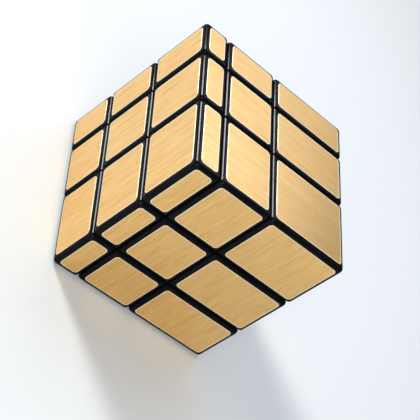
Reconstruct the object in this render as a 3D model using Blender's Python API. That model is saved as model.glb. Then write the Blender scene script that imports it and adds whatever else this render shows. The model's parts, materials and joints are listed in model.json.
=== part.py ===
"""Twisty puzzle cube of the bump kind: 3 x 3 x 3 cubies of unequal sizes on one turning mechanism.

Frame: metres, +Z up. X and Y are centred on the cube, and Z is zero at its bottom face.
The middle slab is equally thick in all three directions and the outer layers all differ, so the
core sits off the middle of the cube. Every mesh is built about the core centre, where all six
turning axes meet, and hangs on an empty there.

Inside, two shells hold each other. Within the mechanism ball the pieces meet on planes FOOT_PLANE
from the core centre, and outside it on planes half a slab away. That leaves feet that run beneath
their neighbours' lips, so nothing falls out and each layer can turn.
"""

import itertools
import math

import bmesh
import bpy
from mathutils import Matrix, Vector

# Overall sizes
CUBE_EDGE = 0.057
SLAB = 0.019
LEFT_LAYER = 0.013
FRONT_LAYER = 0.009
BOTTOM_LAYER = 0.017

# Cubies
PIECE_GAP = 0.0003
EDGE_FILLET = 0.0013
FILLET_SEGMENTS = 2
WALL = 0.0016
MOULD_HOLE_R = 0.001

# Feet and lips
LIP = 0.0025
LIP_THICKNESS = 0.0011
LEAST_NECK = 0.0007
BALL_CLEARANCE = 0.0006
NECK_STEP = 0.00025
BALL_SEGMENTS = 24

# Centre pieces
CAP_THICKNESS = 0.0012
CAP_LAND = 0.0011
CAP_GAP = 0.00015
WELL_R = 0.0034
FLOOR_THICKNESS = 0.0017
SHAFT_WALL = 0.002

# Screw, washers and spring, listed from the core outwards
SEAT_GAP = 0.00015
HUB_R = 0.0065
ARM_R = 0.003
SCREW_R = 0.0011
SCREW_CLEARANCE = 0.0002
SCREW_TIP = 0.003
WASHER_R = 0.003
WASHER_HOLE_R = 0.00145
WASHER_THICKNESS = 0.0004
SPRING_LENGTH = 0.0024
SPRING_MEAN_R = 0.0022
SPRING_WIRE_R = 0.00025
SPRING_TURNS = 3
HEAD_R = 0.0026
HEAD_HEIGHT = 0.0015
HEAD_CHAMFER = 0.0004
HEADROOM = 0.00055
RECESS_LENGTH = 0.0028
RECESS_WIDTH = 0.0006
RECESS_DEPTH = 0.0009
TURNED_SEGMENTS = 16
SPRING_STEPS = 12
WELD_DISTANCE = 2e-6
SHARP_ANGLE = math.radians(35)

# Each side of the cube: the axis that it faces along, and which way
SIDES = {
    "right": (0, 1),
    "left": (0, -1),
    "front": (1, -1),
    "back": (1, 1),
    "bottom": (2, -1),
    "top": (2, 1),
}
LAYERS = {
    "left": LEFT_LAYER,
    "right": CUBE_EDGE - SLAB - LEFT_LAYER,
    "front": FRONT_LAYER,
    "back": CUBE_EDGE - SLAB - FRONT_LAYER,
    "bottom": BOTTOM_LAYER,
    "top": CUBE_EDGE - SLAB - BOTTOM_LAYER,
}
REACH = {side: SLAB / 2 + layer for side, layer in LAYERS.items()}
CORE_CENTRE = Vector(
    (
        REACH["left"] - CUBE_EDGE / 2,
        REACH["front"] - CUBE_EDGE / 2,
        REACH["bottom"],
    )
)

# Planes and radii that follow from the sizes above, all measured from the core centre
HALF_GAP = PIECE_GAP / 2
SLAB_SIDE = SLAB / 2 - HALF_GAP
LAYER_START = SLAB / 2 + HALF_GAP
FOOT_PLANE = SLAB / 2 - LIP
STEM_SIDE = FOOT_PLANE - HALF_GAP
FOOT_START = FOOT_PLANE + HALF_GAP
SHORTEST_REACH = min(REACH.values())
BALL_FOR_LIPS = math.hypot(SHORTEST_REACH - LIP_THICKNESS, FOOT_START)
BALL_FOR_NECKS = math.sqrt(3) * LAYER_START + LEAST_NECK + BALL_CLEARANCE
UNDERCUT_R = max(BALL_FOR_LIPS, BALL_FOR_NECKS)
FOOT_R = UNDERCUT_R - BALL_CLEARANCE
FAR = 2 * CUBE_EDGE

# The stack on each arm, set so that it fits beneath the cap of the shortest centre
HEAD_TOP = SHORTEST_REACH - CAP_THICKNESS - CAP_GAP - HEADROOM
HEAD_SEAT = HEAD_TOP - HEAD_HEIGHT
HEAD_WASHER_START = HEAD_SEAT - SEAT_GAP - WASHER_THICKNESS
SPRING_START = HEAD_WASHER_START - SEAT_GAP - SPRING_LENGTH
THRUST_WASHER_START = SPRING_START - SEAT_GAP - WASHER_THICKNESS
WELL_FLOOR = THRUST_WASHER_START - SEAT_GAP
STEM_START = WELL_FLOOR - FLOOR_THICKNESS
ARM_END = STEM_START - 2 * SEAT_GAP
CAP_SIDE = STEM_SIDE - CAP_LAND


def clear_scene():
    for thing in list(bpy.data.objects):
        bpy.data.objects.remove(thing)


def make_material(name, colour, roughness, metallic):
    """A Principled material whose viewport colour matches its surface."""
    material = bpy.data.materials.new(name)
    material.use_nodes = True
    shader = material.node_tree.nodes["Principled BSDF"]
    shader.inputs["Base Color"].default_value = (*colour, 1)
    shader.inputs["Roughness"].default_value = roughness
    shader.inputs["Metallic"].default_value = metallic
    material.diffuse_color = (*colour, 1)
    material.roughness = roughness
    material.metallic = metallic
    return material


def make_empty(name, parent=None):
    """An axis marker at the core centre, or on top of its parent."""
    empty = bpy.data.objects.new(name, None)
    bpy.context.collection.objects.link(empty)
    empty.empty_display_size = SLAB / 2
    if parent:
        empty.parent = parent
    else:
        empty.location = CORE_CENTRE
    return empty


def object_from(shape, name):
    """Turn a bmesh into a linked object and free it."""
    mesh = bpy.data.meshes.new(name)
    shape.to_mesh(mesh)
    shape.free()
    thing = bpy.data.objects.new(name, mesh)
    bpy.context.collection.objects.link(thing)
    return thing


def weld(thing):
    """Merge the points that a Boolean left closer together than any real feature."""
    shape = bmesh.new()
    shape.from_mesh(thing.data)
    bmesh.ops.remove_doubles(shape, verts=shape.verts, dist=WELD_DISTANCE)
    shape.to_mesh(thing.data)
    shape.free()


def finish(thing, material, parent):
    """Give a piece its material, its parent and smooth shading on its rounded faces."""
    weld(thing)
    thing.data.materials.clear()
    thing.data.materials.append(material)
    thing.data.name = thing.name
    thing.data.shade_smooth()
    thing.data.set_sharp_from_angle(angle=SHARP_ANGLE)
    thing.parent = parent
    return thing


def combine(body, tool, operation):
    """Apply one exact Boolean of tool to body, and discard the tool."""
    boolean = body.modifiers.new(operation.title(), "BOOLEAN")
    boolean.operation = operation
    boolean.solver = "EXACT"
    boolean.object = tool
    graph = bpy.context.evaluated_depsgraph_get()
    result = bpy.data.meshes.new_from_object(body.evaluated_get(graph))
    body.modifiers.remove(boolean)
    body.data = result
    bpy.data.objects.remove(tool)


def box(spans, name="tool"):
    """An axis-aligned block from three (low, high) spans."""
    shape = bmesh.new()
    bmesh.ops.create_cube(shape, size=1)
    size = Vector([high - low for low, high in spans])
    middle = Vector([(high + low) / 2 for low, high in spans])
    bmesh.ops.scale(shape, vec=size, verts=shape.verts)
    bmesh.ops.translate(shape, vec=middle, verts=shape.verts)
    return object_from(shape, name)


def ball(radius, segments, name="tool"):
    """A sphere turned half a segment, so that none of its edges meets a corner of a block."""
    shape = bmesh.new()
    bmesh.ops.create_uvsphere(
        shape,
        u_segments=segments,
        v_segments=segments // 2,
        radius=radius,
        matrix=Matrix.Rotation(math.pi / segments, 4, "Z"),
    )
    return object_from(shape, name)


def facing(side):
    """The rotation that turns +Z to a side's outward direction."""
    axis, sign = SIDES[side]
    outward = Vector((0, 0, 0))
    outward[axis] = sign
    return Vector((0, 0, 1)).rotation_difference(outward).to_matrix().to_4x4()


def rod(side, radius, start, end, across=(0, 0, 0), name="tool"):
    """A round bar along a side's direction, shifted sideways by across."""
    shape = bmesh.new()
    middle = Matrix.Translation((0, 0, (start + end) / 2))
    bmesh.ops.create_cone(
        shape,
        cap_ends=True,
        segments=TURNED_SEGMENTS,
        radius1=radius,
        radius2=radius,
        depth=end - start,
        matrix=Matrix.Translation(across) @ facing(side) @ middle,
    )
    return object_from(shape, name)


def turned(profile, side, closed, name):
    """A solid of revolution about a side's axis from (radius, distance) points."""
    shape = bmesh.new()
    points = [shape.verts.new((radius, 0, distance)) for radius, distance in profile]
    edges = [shape.edges.new(pair) for pair in zip(points, points[1:])]
    if closed:
        edges.append(shape.edges.new((points[-1], points[0])))
    bmesh.ops.spin(
        shape,
        geom=points + edges,
        cent=(0, 0, 0),
        axis=(0, 0, 1),
        angle=math.tau,
        steps=TURNED_SEGMENTS,
        use_merge=True,
    )
    bmesh.ops.remove_doubles(shape, verts=shape.verts, dist=WELD_DISTANCE)
    bmesh.ops.recalc_face_normals(shape, faces=shape.faces)
    bmesh.ops.transform(shape, matrix=facing(side), verts=shape.verts)
    return object_from(shape, name)


def outward_span(side, start, end):
    """The (axis, low, high) of a stretch that runs outwards from start to end on a side."""
    axis, sign = SIDES[side]
    low, high = sorted((sign * start, sign * end))
    return axis, low, high


def spans_of(half_width, *stretches):
    """Three spans: plus and minus half_width, except along the stretches given."""
    spans = [(-half_width, half_width)] * 3
    for side, start, end in stretches:
        axis, low, high = outward_span(side, start, end)
        spans[axis] = (low, high)
    return spans


def cubie_block(spans, sides, name):
    """A block whose edges are filleted wherever they touch one of its outer faces."""
    thing = box(spans, name)
    shape = bmesh.new()
    shape.from_mesh(thing.data)
    rims = set()
    for side in sides:
        axis, sign = SIDES[side]
        face_at = sign * REACH[side]
        for edge in shape.edges:
            if all(abs(vert.co[axis] - face_at) < HALF_GAP for vert in edge.verts):
                rims.add(edge)
    bmesh.ops.bevel(
        shape,
        geom=list(rims),
        offset=EDGE_FILLET,
        segments=FILLET_SEGMENTS,
        profile=0.5,
        affect="EDGES",
        clamp_overlap=True,
        material=-1,
    )
    shape.to_mesh(thing.data)
    shape.free()
    return thing


def add_foot(thing, spans):
    """Join a foot, which fills its spans inside the mechanism ball."""
    foot = box(spans)
    combine(foot, ball(FOOT_R, BALL_SEGMENTS), "INTERSECT")
    combine(thing, foot, "UNION")


def hollow(thing, spans, hole_side):
    """Empty a cubie, with a mould opening through its hidden face on the hole side."""
    combine(thing, box(spans), "DIFFERENCE")
    axis, sign = SIDES[hole_side]
    across = Vector([(low + high) / 2 for low, high in spans])
    edge_of_hollow = sign * spans[axis][sign > 0]
    across[axis] = 0
    hole = rod(hole_side, MOULD_HOLE_R, edge_of_hollow - WALL / 2, edge_of_hollow + FAR, across)
    combine(thing, hole, "DIFFERENCE")


def make_corner(sides, material, parent):
    """A corner cubie: three outer faces, and a foot beneath its three edge neighbours."""
    name = "corner_" + "_".join(sides)
    stretches = [(side, LAYER_START, REACH[side]) for side in sides]
    thing = cubie_block(spans_of(SLAB_SIDE, *stretches), sides, name)
    add_foot(thing, spans_of(STEM_SIDE, *[(side, FOOT_START, UNDERCUT_R) for side in sides]))
    inner = [(side, LAYER_START + WALL, REACH[side] - WALL) for side in sides]
    upright = sides[-1]
    opposite = "bottom" if upright == "top" else "top"
    hollow(thing, spans_of(SLAB_SIDE, *inner), opposite)
    return finish(thing, material, parent)


def make_edge(sides, material, parent):
    """An edge cubie: two outer faces, two undercut lips, and a foot beneath its two centres."""
    name = "edge_" + "_".join(sides)
    along = ({0, 1, 2} - {SIDES[side][0] for side in sides}).pop()
    stretches = [(side, LAYER_START, REACH[side]) for side in sides]
    thing = cubie_block(spans_of(SLAB_SIDE, *stretches), sides, name)
    undercut = ball(UNDERCUT_R, BALL_SEGMENTS)
    neck = [(-FAR, FAR)] * 3
    neck[along] = (NECK_STEP - STEM_SIDE, STEM_SIDE - NECK_STEP)
    combine(undercut, box(neck), "DIFFERENCE")
    combine(thing, undercut, "DIFFERENCE")
    add_foot(thing, spans_of(STEM_SIDE, *[(side, FOOT_START, UNDERCUT_R) for side in sides]))
    clear_of_ball = (UNDERCUT_R + WALL) / math.sqrt(2) - NECK_STEP
    inner = [(side, clear_of_ball, REACH[side] - WALL) for side in sides]
    hole_side = {0: "right", 1: "back", 2: "top"}[along]
    hollow(thing, spans_of(SLAB_SIDE - WALL, *inner), hole_side)
    return finish(thing, material, parent)


def make_centre_base(side, material, parent):
    """A centre's body: square block, undercut lips, stem, and a well for screw and spring."""
    reach = REACH[side]
    spans = spans_of(SLAB_SIDE, (side, WELL_FLOOR, reach))
    thing = cubie_block(spans, [side], "centre_base_" + side)
    undercut = ball(UNDERCUT_R, BALL_SEGMENTS)
    column = spans_of(STEM_SIDE - HALF_GAP, (side, 0, FAR))
    combine(undercut, box(column), "DIFFERENCE")
    combine(thing, undercut, "DIFFERENCE")
    stem = spans_of(STEM_SIDE, (side, STEM_START, WELL_FLOOR + 2 * WALL))
    combine(thing, box(stem), "UNION")
    combine(thing, rod(side, WELL_R, WELL_FLOOR, reach + WALL), "DIFFERENCE")
    bore_r = SCREW_R + SCREW_CLEARANCE
    combine(thing, rod(side, bore_r, STEM_START - WALL, WELL_FLOOR + WALL), "DIFFERENCE")
    cap_seat = reach - CAP_THICKNESS - CAP_GAP
    recess = spans_of(CAP_SIDE + CAP_GAP, (side, cap_seat, reach + WALL))
    combine(thing, box(recess), "DIFFERENCE")
    shaft_start = HEAD_TOP + HEADROOM
    if cap_seat - shaft_start > WALL:
        shaft = spans_of(CAP_SIDE - CAP_LAND / 2, (side, shaft_start, cap_seat + CAP_GAP))
        combine(thing, box(shaft), "DIFFERENCE")
    return finish(thing, material, parent)


def make_centre_cap(side, material, parent):
    """The plug that closes a centre's well, flush with its outer face."""
    spans = spans_of(CAP_SIDE, (side, REACH[side] - CAP_THICKNESS, REACH[side]))
    return finish(box(spans, "centre_cap_" + side), material, parent)


def make_core(material, parent):
    """The hub and its six arms, each with a pilot bore for its screw."""
    core = ball(HUB_R, TURNED_SEGMENTS, "core")
    for side in ("right", "back", "top"):
        combine(core, rod(side, ARM_R, -ARM_END, ARM_END), "UNION")
    bore_r = SCREW_R + SCREW_CLEARANCE
    for side in SIDES:
        bore = rod(side, bore_r, SCREW_TIP - 2 * SEAT_GAP, ARM_END + WALL)
        combine(core, bore, "DIFFERENCE")
    return finish(core, material, parent)


def make_screw(side, material, parent):
    """A pan-head self-tapping screw with a cross recess."""
    profile = [
        (0, SCREW_TIP),
        (SCREW_R, SCREW_TIP + SCREW_R),
        (SCREW_R, HEAD_SEAT),
        (HEAD_R, HEAD_SEAT),
        (HEAD_R, HEAD_TOP - HEAD_CHAMFER),
        (HEAD_R - HEAD_CHAMFER, HEAD_TOP),
        (0, HEAD_TOP),
    ]
    screw = turned(profile, side, False, "screw_" + side)
    for across_axis in {0, 1, 2} - {SIDES[side][0]}:
        slot = spans_of(RECESS_WIDTH / 2, (side, HEAD_TOP - RECESS_DEPTH, HEAD_TOP + WALL))
        slot[across_axis] = (-RECESS_LENGTH / 2, RECESS_LENGTH / 2)
        combine(screw, box(slot), "DIFFERENCE")
    return finish(screw, material, parent)


def make_washer(name, side, start, material, parent):
    profile = [
        (WASHER_HOLE_R, start),
        (WASHER_R, start),
        (WASHER_R, start + WASHER_THICKNESS),
        (WASHER_HOLE_R, start + WASHER_THICKNESS),
    ]
    return finish(turned(profile, side, True, name + side), material, parent)


def make_spring(side, material, parent):
    """A compression spring: one round wire wound about the screw."""
    curve = bpy.data.curves.new("spring_" + side, "CURVE")
    curve.dimensions = "3D"
    curve.bevel_depth = SPRING_WIRE_R
    curve.bevel_resolution = 1
    curve.use_fill_caps = True
    wire = curve.splines.new("POLY")
    steps = SPRING_TURNS * SPRING_STEPS
    wire.points.add(steps)
    rise = SPRING_LENGTH - 2 * SPRING_WIRE_R
    for step, point in enumerate(wire.points):
        turn = math.tau * step / SPRING_STEPS
        height = SPRING_START + SPRING_WIRE_R + rise * step / steps
        place = (SPRING_MEAN_R * math.cos(turn), SPRING_MEAN_R * math.sin(turn), height)
        point.co = (*(facing(side) @ Vector(place)), 1)
    curve.materials.append(material)
    spring = bpy.data.objects.new("spring_" + side, curve)
    bpy.context.collection.objects.link(spring)
    spring.parent = parent
    return spring


def make_spindle(side, layer_empty, float_empty, core_empty, plastic, steel):
    """Everything on one arm of the core: screw, washers, spring and centre piece."""
    make_screw(side, steel, core_empty)
    make_washer("head_washer_", side, HEAD_WASHER_START, steel, core_empty)
    make_spring(side, steel, float_empty)
    make_washer("thrust_washer_", side, THRUST_WASHER_START, steel, float_empty)
    make_centre_base(side, plastic, layer_empty)
    make_centre_cap(side, plastic, layer_empty)


def main():
    clear_scene()
    plastic = make_material("black_plastic", (0.012, 0.012, 0.013), 0.22, 0)
    core_plastic = make_material("core_plastic", (0.03, 0.03, 0.032), 0.35, 0)
    steel = make_material("bright_steel", (0.56, 0.57, 0.58), 0.3, 1)

    core_empty = make_empty("core_axes")
    floats = {side: make_empty(side + "_float_axis", core_empty) for side in SIDES}
    layers = {
        "top": make_empty("top_turn_axis", floats["top"]),
        "bottom": make_empty("bottom_turn_axis", floats["bottom"]),
    }

    make_core(core_plastic, core_empty)
    for side in SIDES:
        layer = layers.get(side, floats[side])
        make_spindle(side, layer, floats[side], core_empty, plastic, steel)
    pairs = [("right", "left"), ("front", "back"), ("top", "bottom")]
    for first, second in itertools.combinations(pairs, 2):
        for sides in itertools.product(first, second):
            make_edge(sides, plastic, layers.get(sides[-1], core_empty))
    for sides in itertools.product(*pairs):
        make_corner(sides, plastic, layers[sides[-1]])


main()
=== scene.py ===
"""Looks for a twisty puzzle cube of the bump kind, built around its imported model.

The cubies, core and fasteners are modelled here as fine pieces that stand for the plain solids of the
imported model, and the foil labels are added. Lengths are metres, and every shape of the cube is drawn
about the core centre.
"""

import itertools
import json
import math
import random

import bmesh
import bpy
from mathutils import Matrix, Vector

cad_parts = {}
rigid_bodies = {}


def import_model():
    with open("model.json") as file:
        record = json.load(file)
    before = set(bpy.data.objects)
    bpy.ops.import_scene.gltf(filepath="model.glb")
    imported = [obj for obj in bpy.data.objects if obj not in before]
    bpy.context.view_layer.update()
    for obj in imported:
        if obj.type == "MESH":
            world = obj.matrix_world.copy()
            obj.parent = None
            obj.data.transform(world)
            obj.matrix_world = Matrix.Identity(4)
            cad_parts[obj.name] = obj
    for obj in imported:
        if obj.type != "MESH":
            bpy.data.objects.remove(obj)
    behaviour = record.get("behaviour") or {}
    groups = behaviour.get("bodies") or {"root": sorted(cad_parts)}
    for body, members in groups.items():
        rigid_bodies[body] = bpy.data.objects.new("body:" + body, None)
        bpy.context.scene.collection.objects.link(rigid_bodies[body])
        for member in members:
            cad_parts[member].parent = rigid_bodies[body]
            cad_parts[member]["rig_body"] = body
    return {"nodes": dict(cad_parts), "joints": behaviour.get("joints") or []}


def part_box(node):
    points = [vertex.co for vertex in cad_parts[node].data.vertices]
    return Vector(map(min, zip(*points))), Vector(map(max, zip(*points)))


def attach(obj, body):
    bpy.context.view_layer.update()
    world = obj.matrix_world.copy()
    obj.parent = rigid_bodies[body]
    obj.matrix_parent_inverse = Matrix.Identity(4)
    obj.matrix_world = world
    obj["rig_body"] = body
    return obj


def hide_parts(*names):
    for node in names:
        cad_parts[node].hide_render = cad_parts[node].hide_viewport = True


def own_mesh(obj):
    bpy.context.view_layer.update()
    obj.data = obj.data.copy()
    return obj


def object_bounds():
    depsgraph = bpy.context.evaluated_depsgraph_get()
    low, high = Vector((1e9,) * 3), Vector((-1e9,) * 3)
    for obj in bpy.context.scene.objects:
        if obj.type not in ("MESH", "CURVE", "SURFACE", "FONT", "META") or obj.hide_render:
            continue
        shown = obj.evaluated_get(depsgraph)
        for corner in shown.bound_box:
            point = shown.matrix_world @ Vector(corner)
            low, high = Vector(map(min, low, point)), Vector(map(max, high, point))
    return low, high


bl_info = {
    "name": "Twisty Puzzle Cube",
    "version": (1, 0, 0),
    "blender": (4, 5, 0),
    "location": "3D View > Sidebar > Puzzle Cube",
    "description": "Builds the cubies, foil labels, core, fasteners and stage of a twisty puzzle cube",
    "category": "Add Mesh",
}

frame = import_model()
CAD_BOX = [list(corner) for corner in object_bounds()]

# The core centre is where the two turning joints lie
CORE = Vector(next(joint["pos_m"] for joint in frame["joints"] if joint["type"] == "hinge"))

# Each side of the cube: the axis that it faces along, and which way
SIDES = {
    "right": (0, 1),
    "left": (0, -1),
    "front": (1, -1),
    "back": (1, 1),
    "bottom": (2, -1),
    "top": (2, 1),
}


def node_reach(node, side):
    """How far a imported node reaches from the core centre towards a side."""
    axis, sign = SIDES[side]
    return sign * (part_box(node)[sign > 0][axis] - CORE[axis])


def node_start(node, side):
    """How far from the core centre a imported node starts, on its way out to a side."""
    axis, sign = SIDES[side]
    return sign * (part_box(node)[sign < 0][axis] - CORE[axis])


# Distances from the core centre: to each outer face, to the slab's sides, and to where the packed
# corners' feet and centres' stems begin
REACH = {side: node_reach("centre_base_" + side, side) for side in SIDES}
SLAB_SIDE = node_reach("edge_right_front", "top")
FOOT_START = node_start("corner_right_front_top", "top")
STEM_START = node_start("centre_base_top", "top")

# A distance well outside the cube
FAR = 4 * max(REACH.values())

# The sides in opposite pairs, one pair for each axis
PAIRS = [("right", "left"), ("front", "back"), ("top", "bottom")]

# Distances below which points are one point: in a finished mesh, and in a shape under construction
WELD = 2e-6
SAME_POINT = 1e-7
SHARP_ANGLE = math.radians(30)

# How finely round shapes are made: steps around one turn
TURNED_SEGMENTS = 48
HUB_SEGMENTS = 40
THREAD_STEPS = 24
SPRING_STEPS = 32
WIRE_SIDES = 10


# ---------------------------------------------------------------------------------------------
# Sizes and finishes that a user may change
# ---------------------------------------------------------------------------------------------


class CubieSizes(bpy.types.PropertyGroup):
    """Sizes of the plastic cubies and of the mechanism ball that they turn on."""

    gap: bpy.props.FloatProperty(
        name="Gap",
        description="Space between neighbouring cubies",
        default=0.0003,
        unit="LENGTH",
        precision=5,
    )
    fillet: bpy.props.FloatProperty(
        name="Edge fillet",
        description="Radius of the rounded edges around every outer face",
        default=0.0013,
        unit="LENGTH",
        precision=5,
    )
    fillet_segments: bpy.props.IntProperty(
        name="Fillet segments",
        description="Faces across one rounded edge",
        default=6,
        min=1,
    )
    wall: bpy.props.FloatProperty(
        name="Wall",
        description="Thickness of a cubie's moulded wall",
        default=0.0016,
        unit="LENGTH",
        precision=5,
    )
    undercut_radius: bpy.props.FloatProperty(
        name="Undercut radius",
        description="Radius of the hollow beneath the lips of edges and centres",
        default=0.0188,
        unit="LENGTH",
        precision=5,
    )
    foot_radius: bpy.props.FloatProperty(
        name="Foot radius",
        description="Radius of the ball that all the feet make together",
        default=0.0183,
        unit="LENGTH",
        precision=5,
    )
    ball_segments: bpy.props.IntProperty(
        name="Ball segments",
        description="Segments around the mechanism ball",
        default=64,
        min=16,
    )
    hole_radius: bpy.props.FloatProperty(
        name="Mould hole radius",
        description="Radius of the opening on a hidden face of each corner and edge",
        default=0.001,
        unit="LENGTH",
        precision=5,
    )


class LabelSizes(bpy.types.PropertyGroup):
    """Sizes of the foil labels on the outer faces."""

    margin: bpy.props.FloatProperty(
        name="Margin",
        description="Distance from a cut or an outer edge to the label",
        default=0.00152,
        unit="LENGTH",
        precision=5,
    )
    corner_radius: bpy.props.FloatProperty(
        name="Corner radius",
        description="Radius of a label's corners",
        default=0.0011,
        unit="LENGTH",
        precision=5,
    )
    thickness: bpy.props.FloatProperty(
        name="Thickness",
        description="How far a label stands off the plastic",
        default=0.0001,
        unit="LENGTH",
        precision=5,
    )
    rim: bpy.props.FloatProperty(
        name="Rim",
        description="Width of the bright cut edge around a label",
        default=0.0002,
        unit="LENGTH",
        precision=5,
    )


class SpindleSizes(bpy.types.PropertyGroup):
    """Sizes of the core, screws, washers and springs."""

    hub_radius: bpy.props.FloatProperty(
        name="Hub radius",
        description="Radius of the ball in the middle of the core",
        default=0.0065,
        unit="LENGTH",
        precision=5,
    )
    arm_radius: bpy.props.FloatProperty(
        name="Arm radius",
        description="Radius of each arm of the core",
        default=0.003,
        unit="LENGTH",
        precision=5,
    )
    bore_radius: bpy.props.FloatProperty(
        name="Bore radius",
        description="Radius of the pilot bores and of the bores through the centres",
        default=0.0013,
        unit="LENGTH",
        precision=5,
    )
    shank_radius: bpy.props.FloatProperty(
        name="Shank radius",
        description="Outer radius of the screw thread",
        default=0.0011,
        unit="LENGTH",
        precision=5,
    )
    thread_pitch: bpy.props.FloatProperty(
        name="Thread pitch",
        description="Rise of the screw thread over one turn",
        default=0.0008,
        unit="LENGTH",
        precision=5,
    )
    head_height: bpy.props.FloatProperty(
        name="Head height",
        description="Height of the pan head",
        default=0.0015,
        unit="LENGTH",
        precision=5,
    )
    floor: bpy.props.FloatProperty(
        name="Well floor",
        description="Thickness of a centre's floor beneath its spring",
        default=0.0017,
        unit="LENGTH",
        precision=5,
    )
    well_radius: bpy.props.FloatProperty(
        name="Well radius",
        description="Radius of the well that holds the spring",
        default=0.0034,
        unit="LENGTH",
        precision=5,
    )
    wire_radius: bpy.props.FloatProperty(
        name="Wire radius",
        description="Radius of the spring wire",
        default=0.00025,
        unit="LENGTH",
        precision=5,
    )
    turns: bpy.props.IntProperty(
        name="Spring turns",
        description="Turns of wire in each spring",
        default=3,
        min=2,
    )


class Finishes(bpy.types.PropertyGroup):
    """Colours of the plastic, foil, steel and stage."""

    plastic: bpy.props.FloatVectorProperty(
        name="Plastic",
        description="Colour of the cubies",
        default=(0.002, 0.002, 0.0028),
        subtype="COLOR",
        size=3,
    )
    foil_light: bpy.props.FloatVectorProperty(
        name="Foil, light streaks",
        description="Colour of the brightest brush marks",
        default=(1.0, 0.67, 0.27),
        subtype="COLOR",
        size=3,
    )
    foil_dark: bpy.props.FloatVectorProperty(
        name="Foil, dark streaks",
        description="Colour of the deepest brush marks",
        default=(0.78, 0.45, 0.14),
        subtype="COLOR",
        size=3,
    )
    foil_edge: bpy.props.FloatVectorProperty(
        name="Foil edge",
        description="Colour of the cut edge around a label",
        default=(1.0, 0.86, 0.62),
        subtype="COLOR",
        size=3,
    )
    steel: bpy.props.FloatVectorProperty(
        name="Steel",
        description="Colour of screws, washers and springs",
        default=(0.60, 0.61, 0.63),
        subtype="COLOR",
        size=3,
    )
    floor: bpy.props.FloatVectorProperty(
        name="Floor",
        description="Colour of the floor",
        default=(0.62, 0.64, 0.64),
        subtype="COLOR",
        size=3,
    )


class StageSettings(bpy.types.PropertyGroup):
    """Where the camera stands and how it is turned."""

    azimuth: bpy.props.FloatProperty(
        name="Azimuth",
        description="Direction of the camera, counted from the front towards the right",
        default=math.radians(54.53),
        subtype="ANGLE",
    )
    elevation: bpy.props.FloatProperty(
        name="Elevation",
        description="Angle of the camera above the horizon",
        default=math.radians(32.27),
        subtype="ANGLE",
    )
    roll: bpy.props.FloatProperty(
        name="Roll",
        description="Turn of the camera about its view axis",
        default=math.radians(56.71),
        subtype="ANGLE",
    )
    distance: bpy.props.FloatProperty(
        name="Distance",
        description="Distance from the camera to its aim point",
        default=0.4074,
        unit="LENGTH",
    )
    lens: bpy.props.FloatProperty(
        name="Lens",
        description="Focal length for a 36 mm sensor",
        default=121.23,
        subtype="DISTANCE_CAMERA",
    )
    aim: bpy.props.FloatVectorProperty(
        name="Aim",
        description="Aim point, counted from the middle of the cube",
        default=(0.00346, 0.00399, -0.00077),
        subtype="TRANSLATION",
        size=3,
        precision=5,
    )


class PuzzleSettings(bpy.types.PropertyGroup):
    """All settings of the puzzle cube."""

    cubies: bpy.props.PointerProperty(type=CubieSizes)
    labels: bpy.props.PointerProperty(type=LabelSizes)
    spindles: bpy.props.PointerProperty(type=SpindleSizes)
    finishes: bpy.props.PointerProperty(type=Finishes)
    stage: bpy.props.PointerProperty(type=StageSettings)


def settings():
    return bpy.context.scene.puzzle_cube


# ---------------------------------------------------------------------------------------------
# Materials
# ---------------------------------------------------------------------------------------------


class Finish:
    """A node material under construction: a Principled shader and helpers that wire nodes to it.

    Its roughness is the usual one, which a finish may then vary over the surface.
    """

    def __init__(self, name, roughness, metallic):
        self.material = bpy.data.materials.new(name)
        self.material.use_nodes = True
        self.tree = self.material.node_tree
        self.shader = self.tree.nodes["Principled BSDF"]
        self.shader.inputs["Roughness"].default_value = roughness
        self.shader.inputs["Metallic"].default_value = metallic

    def node(self, kind, **inputs):
        """Add a node and set or link its inputs, where an underscore stands for a space."""
        node = self.tree.nodes.new(kind)
        for name, value in inputs.items():
            socket = node.inputs[name.replace("_", " ")]
            if isinstance(value, bpy.types.NodeSocket):
                self.tree.links.new(value, socket)
            else:
                socket.default_value = value
        return node

    def link(self, output, name):
        self.tree.links.new(output, self.shader.inputs[name])

    def noise(self, vector, scale, detail, roughness=0.5):
        node = self.node(
            "ShaderNodeTexNoise", Vector=vector, Scale=scale, Detail=detail, Roughness=roughness
        )
        return node.outputs["Fac"]

    def streaks(self, sheet, along, across, detail, roughness=0.5):
        """Noise that is drawn out along U: how many marks to a metre each way."""
        node = self.node("ShaderNodeMapping", Vector=sheet, Scale=(along, across, 1))
        return self.noise(node.outputs["Vector"], 1, detail, roughness)

    def ranged(self, value, low, high, start=0.0, end=1.0):
        """Map a value from low..high to start..end, held at both ends."""
        node = self.node(
            "ShaderNodeMapRange",
            Value=value,
            From_Min=low,
            From_Max=high,
            To_Min=start,
            To_Max=end,
        )
        return node.outputs["Result"]

    def total(self, *shares):
        """The sum of some values, each times its weight."""
        sofar = None
        for value, weight in shares:
            node = self.tree.nodes.new("ShaderNodeMath")
            node.operation = "MULTIPLY_ADD"
            factor, multiplier, addend = node.inputs
            self.tree.links.new(value, factor)
            multiplier.default_value = weight
            addend.default_value = 0
            if sofar:
                self.tree.links.new(sofar, addend)
            sofar = node.outputs["Value"]
        return sofar

    def blend(self, factor, first, second):
        """A colour between two constant colours."""
        node = self.tree.nodes.new("ShaderNodeMix")
        node.data_type = "RGBA"
        # A Mix node has sockets for several types under the same names, so they are taken by place
        fraction, from_colour, to_colour = (node.inputs[place] for place in (0, 6, 7))
        self.tree.links.new(factor, fraction)
        from_colour.default_value = (*first, 1)
        to_colour.default_value = (*second, 1)
        return node.outputs[2]

    def bump(self, height, strength, distance):
        node = self.node("ShaderNodeBump", Height=height, Strength=strength, Distance=distance)
        self.link(node.outputs["Normal"], "Normal")

    def object_coordinates(self):
        return self.node("ShaderNodeTexCoord").outputs["Object"]


def toned(colour, factor):
    """A colour made darker or lighter by a factor."""
    return [channel * factor for channel in colour]


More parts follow.
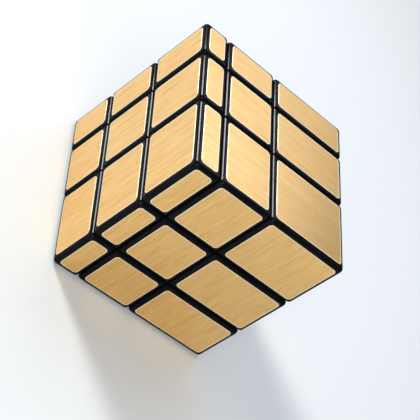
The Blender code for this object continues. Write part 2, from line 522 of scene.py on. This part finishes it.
def plastic_finish(name, colour, roughness):
    """Moulded gloss plastic: a faint orange peel, and a little more haze in some places."""
    finish = Finish(name, roughness, metallic=0)
    place = finish.object_coordinates()
    haze = finish.noise(place, scale=180, detail=3)
    tint = finish.blend(finish.ranged(haze, low=0.35, high=0.7), colour, toned(colour, 1.9))
    finish.link(tint, "Base Color")
    clearest, haziest = roughness * 0.8, roughness * 1.3
    finish.link(finish.ranged(haze, 0.3, 0.7, start=clearest, end=haziest), "Roughness")
    peel = finish.noise(place, scale=900, detail=1)
    finish.bump(peel, strength=0.12, distance=0.00002)
    finish.shader.inputs["IOR"].default_value = 1.5
    finish.shader.inputs["Specular IOR Level"].default_value = 0.07
    return finish.material


def foil_finish(name):
    """Brushed foil: streaks run along U of each label's own map, which is counted in metres.

    Light hairlines, strokes and bands add up, and a few dark scores are taken away from them.
    """
    colours = settings().finishes
    finish = Finish(name, roughness=0.34, metallic=0.92)
    sheet = finish.node("ShaderNodeTexCoord").outputs["UV"]
    hairlines = finish.streaks(sheet, along=220, across=7000, detail=3, roughness=0.6)
    strokes = finish.streaks(sheet, along=130, across=4000, detail=2)
    scores = finish.streaks(sheet, along=85, across=2600, detail=1)
    bands = finish.streaks(sheet, along=20, across=500, detail=2)
    clouds = finish.noise(sheet, scale=70, detail=1)
    shade = finish.total(
        (finish.ranged(hairlines, 0.3, 0.7), 0.35),
        (finish.ranged(strokes, 0.3, 0.7), 0.4),
        (finish.ranged(bands, 0.3, 0.7), 0.25),
        (finish.ranged(scores, 0.54, 0.66), -0.45),
    )
    finish.link(finish.blend(shade, colours.foil_dark, colours.foil_light), "Base Color")
    haze = finish.ranged(shade, 0.1, 0.8, start=0.42, end=0.28)
    finish.link(finish.total((haze, 1), (clouds, 0.08)), "Roughness")
    finish.bump(strokes, strength=0.35, distance=0.00001)
    finish.shader.inputs["Anisotropic"].default_value = 0.7
    finish.shader.inputs["Anisotropic Rotation"].default_value = 0.25
    finish.shader.inputs["Coat Weight"].default_value = 0.25
    finish.shader.inputs["Coat Roughness"].default_value = 0.3
    tangent = finish.node("ShaderNodeTangent")
    tangent.direction_type = "UV_MAP"
    finish.link(tangent.outputs["Tangent"], "Tangent")
    return finish.material


def foil_edge_finish(name):
    """The bright cut edge of a label, where the film beneath the foil shows."""
    finish = Finish(name, roughness=0.45, metallic=0.8)
    wear = finish.noise(finish.object_coordinates(), scale=1500, detail=2)
    pale = settings().finishes.foil_edge
    finish.link(finish.blend(wear, toned(pale, 0.88), pale), "Base Color")
    return finish.material


def steel_finish(name, colour):
    """Zinc-plated steel with fine drawing marks."""
    finish = Finish(name, roughness=0.24, metallic=1)
    place = finish.object_coordinates()
    marks = finish.noise(place, scale=2500, detail=3, roughness=0.65)
    stains = finish.noise(place, scale=400, detail=2)
    tint = finish.blend(finish.ranged(stains, 0.3, 0.7), toned(colour, 0.8), colour)
    finish.link(tint, "Base Color")
    finish.link(finish.ranged(marks, 0.3, 0.7, start=0.18, end=0.36), "Roughness")
    finish.bump(marks, strength=0.15, distance=0.00001)
    return finish.material


def floor_finish(name, colour):
    """A plain matt floor with hardly any texture."""
    finish = Finish(name, roughness=0.75, metallic=0)
    clouds = finish.noise(finish.object_coordinates(), scale=3, detail=2)
    finish.link(finish.blend(clouds, toned(colour, 0.985), colour), "Base Color")
    finish.shader.inputs["Specular IOR Level"].default_value = 0.2
    return finish.material


def material_of(name, maker, *values):
    """The material of that name, made on its first use."""
    return bpy.data.materials.get(name) or maker(name, *values)


def black_plastic():
    roughness = 0.1
    colour = settings().finishes.plastic
    return material_of("black_plastic_finish", plastic_finish, colour, roughness)


def core_plastic():
    """The core's plainer plastic, which is greyer and duller than that of the cubies."""
    roughness = 0.3
    colour = toned(settings().finishes.plastic, 4)
    return material_of("core_plastic_finish", plastic_finish, colour, roughness)


def bright_steel():
    return material_of("steel_finish", steel_finish, settings().finishes.steel)


# ---------------------------------------------------------------------------------------------
# Modelling helpers. Shapes are drawn about the core centre, and settled into place at the end.
# ---------------------------------------------------------------------------------------------


def object_from(shape, name):
    """Turn a bmesh into a linked object and free it."""
    mesh = bpy.data.meshes.new(name)
    shape.to_mesh(mesh)
    shape.free()
    piece = bpy.data.objects.new(name, mesh)
    bpy.context.scene.collection.objects.link(piece)
    return piece


def combine(body, tool, operation):
    """Apply one exact Boolean of tool to body, and discard the tool."""
    boolean = body.modifiers.new(operation.title(), "BOOLEAN")
    boolean.operation = operation
    boolean.solver = "EXACT"
    boolean.object = tool
    graph = bpy.context.evaluated_depsgraph_get()
    result = bpy.data.meshes.new_from_object(body.evaluated_get(graph))
    if not result.polygons:
        raise RuntimeError(body.name + " was lost in a Boolean")
    body.modifiers.remove(boolean)
    body.data = result
    bpy.data.objects.remove(tool)


def settle(piece, node, material=None, stands_for_node=True):
    """Place a piece in the cube, weld and shade it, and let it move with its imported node.

    A label comes without a material, because it has its own two, and doesn't stand for its node.
    """
    piece.data.name = piece.name
    shape = bmesh.new()
    shape.from_mesh(piece.data)
    bmesh.ops.remove_doubles(shape, verts=shape.verts, dist=WELD)
    bmesh.ops.dissolve_degenerate(shape, dist=WELD / 2, edges=shape.edges)
    bmesh.ops.translate(shape, vec=CORE, verts=shape.verts)
    shape.to_mesh(piece.data)
    shape.free()
    if material:
        piece.data.materials.clear()
        piece.data.materials.append(material)
    piece.data.shade_smooth()
    piece.data.set_sharp_from_angle(angle=SHARP_ANGLE)
    weighted = piece.modifiers.new("Flat faces stay flat", "WEIGHTED_NORMAL")
    weighted.keep_sharp = True
    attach(piece, frame["nodes"][node]["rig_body"])
    if stands_for_node:
        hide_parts(node)


def cubie_node(sides):
    """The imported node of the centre, edge or corner on one, two or three sides."""
    kind = ("centre_base", "edge", "corner")[len(sides) - 1]
    return "_".join([kind, *sides])


def spans_of(half_width, *stretches):
    """Three spans: plus and minus half_width, except along the outward stretches given."""
    spans = [(-half_width, half_width)] * 3
    for side, start, end in stretches:
        axis, sign = SIDES[side]
        spans[axis] = tuple(sorted((sign * start, sign * end)))
    return spans


def box_shape(spans):
    """An axis-aligned block from three (low, high) spans."""
    shape = bmesh.new()
    bmesh.ops.create_cube(shape, size=1)
    size = Vector([high - low for low, high in spans])
    middle = Vector([(high + low) / 2 for low, high in spans])
    bmesh.ops.scale(shape, vec=size, verts=shape.verts)
    bmesh.ops.translate(shape, vec=middle, verts=shape.verts)
    return shape


def box(spans):
    return object_from(box_shape(spans), "tool")


def lies_at(edge, axis, place, tolerance):
    """Whether both ends of an edge lie in a plane across an axis."""
    return all(abs(vert.co[axis] - place) < tolerance for vert in edge.verts)


def round_edges(shape, edges, radius, segments):
    bmesh.ops.bevel(
        shape,
        geom=edges,
        offset=radius,
        segments=segments,
        profile=0.5,
        affect="EDGES",
        clamp_overlap=True,
        material=-1,
    )


def cubie_block(spans, sides, name):
    """A block with rounded edges around each of its outer faces."""
    sizes = settings().cubies
    shape = box_shape(spans)
    faces = [(SIDES[side][0], SIDES[side][1] * REACH[side]) for side in sides]
    rims = [
        edge
        for edge in shape.edges
        if any(lies_at(edge, axis, place, sizes.gap / 2) for axis, place in faces)
    ]
    round_edges(shape, rims, sizes.fillet, sizes.fillet_segments)
    return object_from(shape, name)


def ball_shape(radius, segments):
    """A fine sphere, turned half a segment so that none of its edges meets a block's corner."""
    shape = bmesh.new()
    bmesh.ops.create_uvsphere(
        shape,
        u_segments=segments,
        v_segments=segments // 2,
        radius=radius,
        matrix=Matrix.Rotation(math.pi / segments, 4, "Z"),
    )
    return shape


def slice_off(shape, point, outward):
    """Cut away everything beyond a plane, and close the cut."""
    geometry = list(shape.verts) + list(shape.edges) + list(shape.faces)
    cut = bmesh.ops.bisect_plane(
        shape, geom=geometry, plane_co=point, plane_no=outward, clear_outer=True, dist=SAME_POINT
    )
    rim = [part for part in cut["geom_cut"] if isinstance(part, bmesh.types.BMEdge)]
    bmesh.ops.contextual_create(shape, geom=rim)


def along_axis(axis, length):
    """A vector of that length along one axis."""
    vector = Vector((0, 0, 0))
    vector[axis] = length
    return vector


def ball_part(radius, spans):
    """The part of the mechanism ball that lies within three spans."""
    shape = ball_shape(radius, settings().cubies.ball_segments)
    for axis, (low, high) in enumerate(spans):
        for bound, sign in ((low, -1), (high, 1)):
            if abs(bound) < radius:
                slice_off(shape, along_axis(axis, bound), along_axis(axis, sign))
    bmesh.ops.recalc_face_normals(shape, faces=shape.faces)
    return object_from(shape, "tool")


def facing(side):
    """The rotation that turns +Z to a side's outward direction."""
    outward = along_axis(*SIDES[side])
    return Vector((0, 0, 1)).rotation_difference(outward).to_matrix().to_4x4()


def turned(profile, side, name="tool", closed=False, across=(0, 0, 0)):
    """A solid of revolution about a side's direction from (radius, distance) points."""
    shape = bmesh.new()
    points = [shape.verts.new((radius, 0, distance)) for radius, distance in profile]
    edges = [shape.edges.new(pair) for pair in zip(points, points[1:])]
    if closed:
        edges.append(shape.edges.new((points[-1], points[0])))
    bmesh.ops.spin(
        shape,
        geom=points + edges,
        cent=(0, 0, 0),
        axis=(0, 0, 1),
        angle=math.tau,
        steps=TURNED_SEGMENTS,
        use_merge=True,
    )
    bmesh.ops.remove_doubles(shape, verts=shape.verts, dist=SAME_POINT)
    bmesh.ops.recalc_face_normals(shape, faces=shape.faces)
    place = Matrix.Translation(across) @ facing(side)
    bmesh.ops.transform(shape, matrix=place, verts=shape.verts)
    return object_from(shape, name)


def rod(side, radius, start, end, across=(0, 0, 0)):
    """A plain round bar along a side's direction, for a bore."""
    return turned([(0, start), (radius, start), (radius, end), (0, end)], side, across=across)


def coil(outline, side, start, rise, turns, steps, name="tool"):
    """Sweep a closed outline of (radius, distance) points up a helix, whose two ends are flat."""
    shape = bmesh.new()
    points = [shape.verts.new((radius, 0, start + height)) for radius, height in outline]
    face = shape.faces.new(points)
    bmesh.ops.spin(
        shape,
        geom=[face],
        cent=(0, 0, 0),
        axis=(0, 0, 1),
        dvec=(0, 0, rise / steps),
        angle=math.tau * turns,
        steps=steps * turns,
        use_merge=False,
    )
    bmesh.ops.recalc_face_normals(shape, faces=shape.faces)
    bmesh.ops.transform(shape, matrix=facing(side), verts=shape.verts)
    return object_from(shape, name)


def wire_outline(radius, centre_radius):
    """The round section of a wire, as (radius, distance) points."""
    angles = [math.tau * step / WIRE_SIDES for step in range(WIRE_SIDES)]
    return [(centre_radius + radius * math.cos(a), radius * math.sin(a)) for a in angles]


def chamfered_ring(inner, outer, start, thickness, chamfer):
    """The outline of a washer with broken edges."""
    end = start + thickness
    return [
        (inner, start + chamfer),
        (inner + chamfer, start),
        (outer - chamfer, start),
        (outer, start + chamfer),
        (outer, end - chamfer),
        (outer - chamfer, end),
        (inner + chamfer, end),
        (inner, end - chamfer),
    ]


# ---------------------------------------------------------------------------------------------
# Cubies
# ---------------------------------------------------------------------------------------------


def layer_start():
    return SLAB_SIDE + settings().cubies.gap


def stem_side():
    return FOOT_START - settings().cubies.gap


def hollow(piece, spans, hole_side):
    """Empty a cubie, with its mould opening through the hidden face on the hole side."""
    sizes = settings().cubies
    combine(piece, box(spans), "DIFFERENCE")
    axis, sign = SIDES[hole_side]
    across = Vector([(low + high) / 2 for low, high in spans])
    across[axis] = 0
    start = sign * spans[axis][sign > 0] - sizes.wall / 2
    combine(piece, rod(hole_side, sizes.hole_radius, start, start + FAR, across), "DIFFERENCE")


def build_corner(sides):
    """A corner cubie: three outer faces, and a foot beneath its three edge neighbours."""
    sizes = settings().cubies
    node = cubie_node(sides)
    stretches = [(side, layer_start(), REACH[side]) for side in sides]
    piece = cubie_block(spans_of(SLAB_SIDE, *stretches), sides, "cubie_" + "_".join(sides))
    foot = spans_of(0, *[(side, FOOT_START, FAR) for side in sides])
    combine(piece, ball_part(sizes.foot_radius, foot), "UNION")
    inner = [(side, layer_start() + sizes.wall, REACH[side] - sizes.wall) for side in sides]
    hole_side = "bottom" if "top" in sides else "top"
    hollow(piece, spans_of(0, *inner), hole_side)
    settle(piece, node, black_plastic())


def build_edge(sides):
    """An edge cubie: two outer faces, two undercut lips, and a foot beneath its two centres."""
    sizes = settings().cubies
    node = cubie_node(sides)
    along = ({0, 1, 2} - {SIDES[side][0] for side in sides}).pop()
    stretches = [(side, layer_start(), REACH[side]) for side in sides]
    piece = cubie_block(spans_of(SLAB_SIDE, *stretches), sides, "cubie_" + "_".join(sides))
    for low, high in ((-FAR, -stem_side()), (stem_side(), FAR)):
        lip = [(-FAR, FAR)] * 3
        lip[along] = (low, high)
        combine(piece, ball_part(sizes.undercut_radius, lip), "DIFFERENCE")
    # The foot's ends lie a little inside the undercuts' ends, so that no two faces share a plane
    foot_side = stem_side() - sizes.gap / 8
    foot = spans_of(foot_side, *[(side, FOOT_START, FAR) for side in sides])
    combine(piece, ball_part(sizes.foot_radius, foot), "UNION")
    clear_of_ball = (sizes.undercut_radius + sizes.wall) / math.sqrt(2)
    inner = [(side, clear_of_ball, REACH[side] - sizes.wall) for side in sides]
    hole_side = ("right", "back", "top")[along]
    hollow(piece, spans_of(SLAB_SIDE - sizes.wall, *inner), hole_side)
    settle(piece, node, black_plastic())


def build_centre(side):
    """A centre's body: square block, undercut lips, stem, and a well for screw and spring.

    A tall centre also has a square shaft from above its screw's head up to the seat of its plug.
    """
    sizes = settings().cubies
    spindle = settings().spindles
    node = cubie_node([side])
    reach = REACH[side]
    well_floor = STEM_START + spindle.floor
    cap_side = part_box("centre_cap_top")[1].x - CORE.x
    cap_start = node_start("centre_cap_" + side, side)
    seat = cap_start - sizes.gap / 2
    beyond = reach + sizes.wall
    block = spans_of(SLAB_SIDE, (side, well_floor, reach))
    piece = cubie_block(block, [side], "cubie_" + side)
    undercut = ball_shape(sizes.undercut_radius, sizes.ball_segments)
    combine(piece, object_from(undercut, "tool"), "DIFFERENCE")
    combine(piece, box(spans_of(stem_side(), (side, STEM_START, seat))), "UNION")
    combine(piece, rod(side, spindle.well_radius, well_floor, beyond), "DIFFERENCE")
    bore = rod(side, spindle.bore_radius, STEM_START - sizes.wall, well_floor + sizes.wall)
    combine(piece, bore, "DIFFERENCE")
    recess = spans_of(cap_side + sizes.gap / 2, (side, seat, beyond))
    combine(piece, box(recess), "DIFFERENCE")
    headroom = spindle.floor / 3
    shaft_start = node_reach("screw_" + side, side) + headroom
    if seat - shaft_start > sizes.wall:
        land = sizes.gap * 2
        shaft = spans_of(cap_side - land, (side, shaft_start, seat + sizes.gap))
        combine(piece, box(shaft), "DIFFERENCE")
    settle(piece, node, black_plastic())
    build_cap(side, cap_side, cap_start)


def build_cap(side, cap_side, cap_start):
    """The plug that closes a centre's well, with broken edges."""
    node = "centre_cap_" + side
    shape = box_shape(spans_of(cap_side, (side, cap_start, REACH[side])))
    round_edges(shape, list(shape.edges), settings().cubies.gap / 2, segments=2)
    piece = object_from(shape, "plug_" + side)
    settle(piece, node, black_plastic())


# ---------------------------------------------------------------------------------------------
# Foil labels
# ---------------------------------------------------------------------------------------------

# Edge of the brushed sheet that every label is cut from, each at its own place
SHEET = 0.4


def cell_span(sides, axis):
    """The nominal span of a cubie's cell along an axis: that of an outer layer, or of the slab."""
    cut = SLAB_SIDE + settings().cubies.gap / 2
    for side in sides:
        if SIDES[side][0] == axis:
            sign = SIDES[side][1]
            return sorted((sign * cut, sign * REACH[side]))
    return (-cut, cut)


def map_grain(shape, across, along, offset):
    """Lay a label's map on it in metres, with U along the grain and its own place on the sheet."""
    layer = shape.loops.layers.uv.new("grain")
    for face in shape.faces:
        for loop in face.loops:
            place = loop.vert.co
            loop[layer].uv = (place[along] + offset[0], place[across] + offset[1])


def build_label(sides, side, chance):
    """One foil label on one outer face of a cubie, its foot sunk a little into the plastic."""
    sizes = settings().labels
    axis, sign = SIDES[side]
    along = 2 if axis != 2 else 1
    across = ({0, 1, 2} - {axis, along}).pop()
    cell = [cell_span(sides, each) for each in range(3)]
    spans = [(low + sizes.margin, high - sizes.margin) for low, high in cell]
    bury = sizes.thickness / 6
    top = sign * (REACH[side] + sizes.thickness)
    spans[axis] = tuple(sorted((sign * (REACH[side] - bury), top)))
    shape = box_shape(spans)
    posts = [e for e in shape.edges if abs(e.verts[0].co[axis] - e.verts[1].co[axis]) > bury]
    round_edges(shape, posts, sizes.corner_radius, segments=6)
    rims = [edge for edge in shape.edges if lies_at(edge, axis, top, bury)]
    round_edges(shape, rims, sizes.thickness / 5, segments=1)
    shape.normal_update()
    foil = max(shape.faces, key=lambda face: face.normal[axis] * sign * face.calc_area())
    bmesh.ops.inset_region(shape, faces=[foil], thickness=sizes.rim)
    for face in shape.faces:
        face.material_index = 0 if face == foil else 1
    map_grain(shape, across, along, (chance.uniform(0, SHEET), chance.uniform(0, SHEET)))
    piece = object_from(shape, "foil_" + "_".join(sides) + "_on_" + side)
    piece.data.materials.append(material_of("brushed_foil", foil_finish))
    piece.data.materials.append(material_of("foil_cut_edge", foil_edge_finish))
    settle(piece, cubie_node(sides), stands_for_node=False)


# ---------------------------------------------------------------------------------------------
# Core and fasteners
# ---------------------------------------------------------------------------------------------


def node_width(node, side):
    """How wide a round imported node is, across a side's direction."""
    low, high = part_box(node)
    return (high - low)[(SIDES[side][0] + 1) % 3]


def build_core():
    """The hub and its six arms, each with a collar at its root and a bore for its screw."""
    sizes = settings().spindles
    arm = sizes.arm_radius
    arm_end = node_reach("core", "top")
    broken_edge = 0.0002
    root = sizes.hub_radius / 2
    collar = arm * 1.25
    collar_end = sizes.hub_radius * 1.08
    profile = [
        (0, root),
        (collar, root),
        (collar, collar_end),
        (arm, collar_end + collar - arm),
        (arm, arm_end - broken_edge),
        (arm - broken_edge, arm_end),
        (0, arm_end),
    ]
    core = object_from(ball_shape(sizes.hub_radius, HUB_SEGMENTS), "spider_core")
    for side in SIDES:
        combine(core, turned(profile, side), "UNION")
    room_at_tip = 0.0003
    bore_start = node_start("screw_top", "top") - room_at_tip
    for side in SIDES:
        bore = rod(side, sizes.bore_radius, bore_start, arm_end + sizes.floor)
        combine(core, bore, "DIFFERENCE")
    settle(core, "core", core_plastic())


def domed_head(radius, seat, top, dome):
    """The outline of a pan head from its seat to its middle: a broken edge, then a rounded dome."""
    broken_edge = 0.0001
    flat_share = 0.62
    steps = 6
    profile = [(radius - broken_edge, seat), (radius, seat + broken_edge)]
    for step in range(steps + 1):
        angle = math.pi / 2 * step / steps
        across = radius * (flat_share + (1 - flat_share) * math.cos(angle))
        profile.append((across, top - dome + dome * math.sin(angle)))
    return profile + [(0, top)]


def build_screw(side):
    """A pan-head screw with a rolled thread and a cross recess."""
    sizes = settings().spindles
    node = "screw_" + side
    tip = node_start(node, side)
    top = node_reach(node, side)
    seat = top - sizes.head_height
    crest = sizes.shank_radius
    root = crest * 0.78
    thread_start = tip + 2 * root
    thread_end = seat - 0.0012
    neck_start = seat - 0.0009
    head_radius = node_width(node, side) / 2
    profile = [
        (0, tip),
        (root, thread_start),
        (root, thread_end),
        (crest, neck_start),
        (crest, seat),
        *domed_head(head_radius, seat, top, dome=sizes.head_height * 0.55),
    ]
    screw = turned(profile, side, "pan_screw_" + side)
    half = sizes.thread_pitch * 0.34
    sunk = root * 0.9
    ridge = [(sunk, -half), (crest, -half / 6), (crest, half / 6), (sunk, half)]
    turns = int((thread_end - thread_start) / sizes.thread_pitch)
    thread = coil(ridge, side, thread_start, sizes.thread_pitch, turns, THREAD_STEPS)
    combine(screw, thread, "UNION")
    half_length = head_radius * 0.54
    half_width = 0.0003
    depth = 0.0009
    for across in sorted({0, 1, 2} - {SIDES[side][0]}):
        slot = spans_of(half_width, (side, top - depth, top + depth))
        slot[across] = (-half_length, half_length)
        combine(screw, box(slot), "DIFFERENCE")
    settle(screw, node, bright_steel())


def build_washer(node, side, name):
    """A flat washer with broken edges, loose on the screw's shank."""
    outer = node_width(node, side) / 2
    inner = settings().spindles.shank_radius * 1.32
    start = node_start(node, side)
    thickness = node_reach(node, side) - start
    outline = chamfered_ring(inner, outer, start, thickness, chamfer=thickness * 0.18)
    washer = turned(outline, side, name, closed=True)
    settle(washer, node, bright_steel())


def build_spring(side):
    """A compression spring of round wire."""
    sizes = settings().spindles
    wire = sizes.wire_radius
    node = "spring_" + side
    start = node_start(node, side)
    length = node_reach(node, side) - start
    rise = (length - 2 * wire) / sizes.turns
    outline = wire_outline(wire, node_width(node, side) / 2 - wire)
    name = "coil_spring_" + side
    spring = coil(outline, side, start + wire, rise, sizes.turns, SPRING_STEPS, name)
    settle(spring, node, bright_steel())
    outward = facing(side) @ Vector((0, 0, 1))
    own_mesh(spring)


# ---------------------------------------------------------------------------------------------
# Stage
# ---------------------------------------------------------------------------------------------


def build_floor():
    """A plain floor, just beneath the bottom labels."""
    shape = bmesh.new()
    bmesh.ops.create_circle(shape, cap_ends=True, segments=96, radius=4)
    height = CAD_BOX[0][2] - settings().labels.thickness * 1.1
    bmesh.ops.translate(shape, vec=(0, 0, height), verts=shape.verts)
    floor = object_from(shape, "floor")
    colour = settings().finishes.floor
    floor.data.materials.append(material_of("floor_finish", floor_finish, colour))


def add_softbox(name, direction, distance, size, power, colour, roll=0.0):
    """An area light that looks at the cube from a direction, turned by roll about its own axis."""
    light = bpy.data.lights.new(name, "AREA")
    light.shape = "RECTANGLE"
    light.size, light.size_y = size
    light.energy = power
    light.color = colour
    lamp = bpy.data.objects.new(name, light)
    bpy.context.scene.collection.objects.link(lamp)
    outward = Vector(direction).normalized()
    lamp.location = Vector((0, 0, CORE.z)) + outward * distance
    turn = Matrix.Rotation(roll, 4, "Z").to_quaternion()
    lamp.rotation_mode = "QUATERNION"
    lamp.rotation_quaternion = outward.to_track_quat("Z", "Y") @ turn
    lamp.visible_camera = False


def build_lights():
    """A hard key for glints on the fillets, a close soft light above, a wide fill and a pale sky."""
    add_softbox(
        "key",
        direction=(-0.70, -0.53, 0.54),
        distance=0.9,
        size=(0.18, 0.28),
        power=9,
        colour=(1.0, 0.99, 0.97),
        roll=math.radians(33),
    )
    add_softbox(
        "sheen",
        direction=(-0.45, 0.19, 0.87),
        distance=0.3,
        size=(0.2, 0.2),
        power=0.36,
        colour=(0.87, 0.98, 1.26),
    )
    add_softbox(
        "fill",
        direction=(0.76, -0.30, 0.43),
        distance=0.65,
        size=(0.55, 0.55),
        power=4.3,
        colour=(0.98, 0.99, 1.0),
    )
    world = bpy.data.worlds.new("studio")
    world.use_nodes = True
    background = world.node_tree.nodes["Background"]
    background.inputs["Color"].default_value = (0.92, 0.94, 0.95, 1)
    background.inputs["Strength"].default_value = 0.33
    bpy.context.scene.world = world


def build_camera():
    """A long lens from the front right and above, rolled about its view axis."""
    stage = settings().stage
    level_share = math.cos(stage.elevation)
    outward = Vector(
        (
            math.sin(stage.azimuth) * level_share,
            -math.cos(stage.azimuth) * level_share,
            math.sin(stage.elevation),
        )
    )
    data = bpy.data.cameras.new("camera")
    data.lens = stage.lens
    data.sensor_width = 36
    data.clip_start = 0.01
    data.clip_end = 20
    data.dof.use_dof = False
    camera = bpy.data.objects.new("camera", data)
    bpy.context.scene.collection.objects.link(camera)
    middle = (Vector(CAD_BOX[0]) + Vector(CAD_BOX[1])) / 2
    camera.location = middle + Vector(stage.aim) + outward * stage.distance
    level = (-outward).to_track_quat("-Z", "Y").to_matrix().to_4x4()
    turn = Matrix.Rotation(stage.roll, 4, "Z")
    camera.rotation_mode = "QUATERNION"
    camera.rotation_quaternion = (level @ turn).to_quaternion()
    bpy.context.scene.camera = camera


def set_view_transform():
    view = bpy.context.scene.view_settings
    view.view_transform = "Standard"
    view.look = "None"
    view.exposure = 0
    view.gamma = 1


# ---------------------------------------------------------------------------------------------
# Operators, panel and registration
# ---------------------------------------------------------------------------------------------


class PUZZLE_OT_corners(bpy.types.Operator):
    """Build the eight corner cubies"""

    bl_idname = "puzzle.corners"
    bl_label = "Corner Cubies"

    def execute(self, context):
        for sides in itertools.product(*PAIRS):
            build_corner(sides)
        return {"FINISHED"}


class PUZZLE_OT_edges(bpy.types.Operator):
    """Build the twelve edge cubies"""

    bl_idname = "puzzle.edges"
    bl_label = "Edge Cubies"

    def execute(self, context):
        for first, second in itertools.combinations(PAIRS, 2):
            for sides in itertools.product(first, second):
                build_edge(sides)
        return {"FINISHED"}


class PUZZLE_OT_centres(bpy.types.Operator):
    """Build the six centre pieces and their plugs"""

    bl_idname = "puzzle.centres"
    bl_label = "Centre Pieces"

    def execute(self, context):
        for side in SIDES:
            build_centre(side)
        return {"FINISHED"}


class PUZZLE_OT_labels(bpy.types.Operator):
    """Lay a foil label on every outer face"""

    bl_idname = "puzzle.labels"
    bl_label = "Foil Labels"

    def execute(self, context):
        chance = random.Random(7)
        for choice in itertools.product(*[(None, *pair) for pair in PAIRS]):
            sides = [side for side in choice if side]
            for side in sides:
                build_label(sides, side, chance)
        return {"FINISHED"}


class PUZZLE_OT_core(bpy.types.Operator):
    """Build the six-armed core"""

    bl_idname = "puzzle.core"
    bl_label = "Core"

    def execute(self, context):
        build_core()
        return {"FINISHED"}


class PUZZLE_OT_fasteners(bpy.types.Operator):
    """Build the screws, washers and springs"""

    bl_idname = "puzzle.fasteners"
    bl_label = "Screws, Washers and Springs"

    def execute(self, context):
        for side in SIDES:
            build_screw(side)
            build_washer("head_washer_" + side, side, "upper_washer_" + side)
            build_washer("thrust_washer_" + side, side, "lower_washer_" + side)
            build_spring(side)
        return {"FINISHED"}


class PUZZLE_OT_stage(bpy.types.Operator):
    """Set up the floor, the lights and the camera"""

    bl_idname = "puzzle.stage"
    bl_label = "Stage"

    def execute(self, context):
        build_floor()
        build_lights()
        build_camera()
        set_view_transform()
        return {"FINISHED"}


OPERATORS = (
    PUZZLE_OT_stage,
    PUZZLE_OT_corners,
    PUZZLE_OT_edges,
    PUZZLE_OT_centres,
    PUZZLE_OT_labels,
    PUZZLE_OT_core,
    PUZZLE_OT_fasteners,
)


class PUZZLE_PT_panel(bpy.types.Panel):
    """Puzzle cube tools"""

    bl_idname = "PUZZLE_PT_panel"
    bl_label = "Puzzle Cube"
    bl_space_type = "VIEW_3D"
    bl_region_type = "UI"
    bl_category = "Puzzle Cube"

    def draw(self, context):
        for operator in OPERATORS:
            self.layout.operator(operator.bl_idname)
        groups = context.scene.puzzle_cube
        for name in ("cubies", "labels", "spindles", "finishes", "stage"):
            group = getattr(groups, name)
            column = self.layout.box().column()
            column.label(text=name.title())
            for key in group.__annotations__:
                column.prop(group, key)


CLASSES = (
    CubieSizes,
    LabelSizes,
    SpindleSizes,
    Finishes,
    StageSettings,
    PuzzleSettings,
    *OPERATORS,
    PUZZLE_PT_panel,
)


def register():
    for each in CLASSES:
        bpy.utils.register_class(each)
    bpy.types.Scene.puzzle_cube = bpy.props.PointerProperty(type=PuzzleSettings)


def unregister():
    del bpy.types.Scene.puzzle_cube
    for each in reversed(CLASSES):
        bpy.utils.unregister_class(each)


def main():
    register()
    bpy.ops.puzzle.stage()
    bpy.ops.puzzle.corners()
    bpy.ops.puzzle.edges()
    bpy.ops.puzzle.centres()
    bpy.ops.puzzle.labels()
    bpy.ops.puzzle.core()
    bpy.ops.puzzle.fasteners()


if __name__ == "__main__":
    main()
